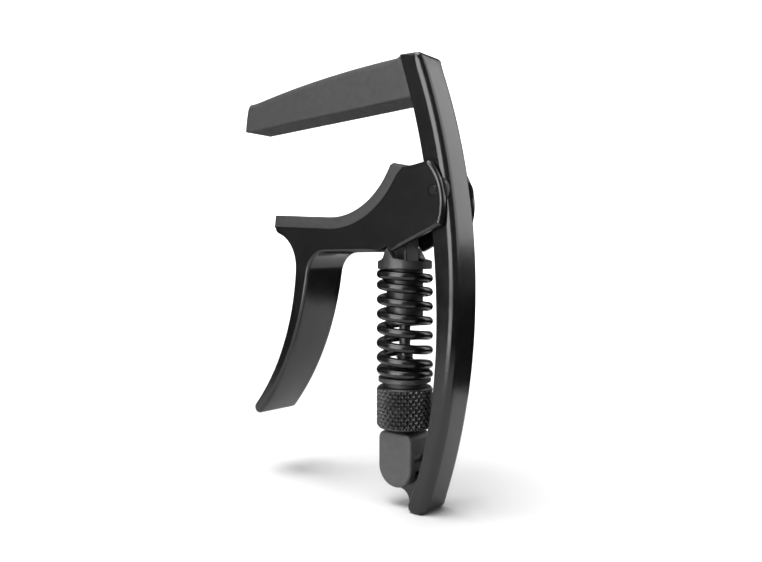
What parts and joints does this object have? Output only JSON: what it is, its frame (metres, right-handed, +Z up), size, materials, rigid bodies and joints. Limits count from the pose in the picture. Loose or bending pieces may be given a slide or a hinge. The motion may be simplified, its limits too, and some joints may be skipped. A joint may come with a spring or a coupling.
{
  "type": "guitar capo",
  "caption": "Sprung instrument capo: bowed spine with a rubber-sleeved string bar, padded squeeze lever, and a coil spring strut with a knurled tension nut.",
  "frame": {"origin": "centre of the string pad's clamping face", "axes": "+Z up the spine, from its foot towards the string bar; +X from the bar towards the spine; +Y across the capo's width"},
  "size_m": [0.0595, 0.0112, 0.088],
  "materials": {
    "frame": "satin black powder coat on cast aluminium",
    "lever": "satin black powder coat on cast aluminium",
    "string_pad": "matte black moulded rubber",
    "neck_pad": "matte dark grey moulded rubber",
    "pivot_pin": "blackened steel",
    "pivot_washers": "black acetal",
    "cap": "black moulded acetal",
    "spring": "black coated spring wire",
    "seat": "black moulded acetal",
    "thrust_washer": "black nylon",
    "nut": "black knurled acetal",
    "stud": "blackened steel, threaded",
    "clip": "blackened spring steel",
    "block": "dark moulded acetal"
  },
  "bodies": {
    "frame": {"frame": "frame", "string_pad": "string_pad"},
    "lever": {"lever": "lever", "neck_pad": "neck_pad", "pivot_pin": "pivot_pin", "pivot_washer_near": "pivot_washers", "pivot_washer_far": "pivot_washers"},
    "foot": {"foot_block": "block", "adjuster_stud": "stud", "stud_clip": "clip", "spring": "spring"},
    "cap": {"spring_cap": "cap"},
    "seat": {"spring_seat": "seat", "thrust_washer": "thrust_washer"},
    "nut": {"adjuster_nut": "nut"}
  },
  "joints": [
    {"name": "lever_hinge", "type": "hinge", "parent": "frame", "child": "lever", "pos_m": [0.0308, 0, -0.0178], "axis": [0, -1, 0], "range_deg": [0, 20], "stiffness_Nm_per_rad": 0.4, "springref_deg": -85.94},
    {"name": "strut_swing", "type": "hinge", "parent": "frame", "child": "foot", "pos_m": [0.02005, 0, -0.07115], "axis": [0, 1, 0], "range_deg": [0, 6]},
    {"name": "cap_slide", "type": "slide", "parent": "foot", "child": "cap", "axis": [0, 0, -1], "range_m": [0, 0.00302], "deforming": ["spring"]},
    {"name": "seat_slide", "type": "slide", "parent": "foot", "child": "seat", "axis": [0, 0, 1], "range_m": [0, 0.0024], "deforming": ["spring"]},
    {"name": "nut_turn", "type": "hinge", "parent": "seat", "child": "nut", "pos_m": [0.02005, 0, -0.0595], "axis": [0, 0, 1], "range_deg": [0, 1440]}
  ],
  "couplings": [
    {"joint": "lever_hinge", "follows": "cap_slide", "rad_per_m": 115.62},
    {"joint": "strut_swing", "follows": "cap_slide", "rad_per_m": 32.992},
    {"joint": "nut_turn", "follows": "seat_slide", "rad_per_m": 10472}
  ]
}
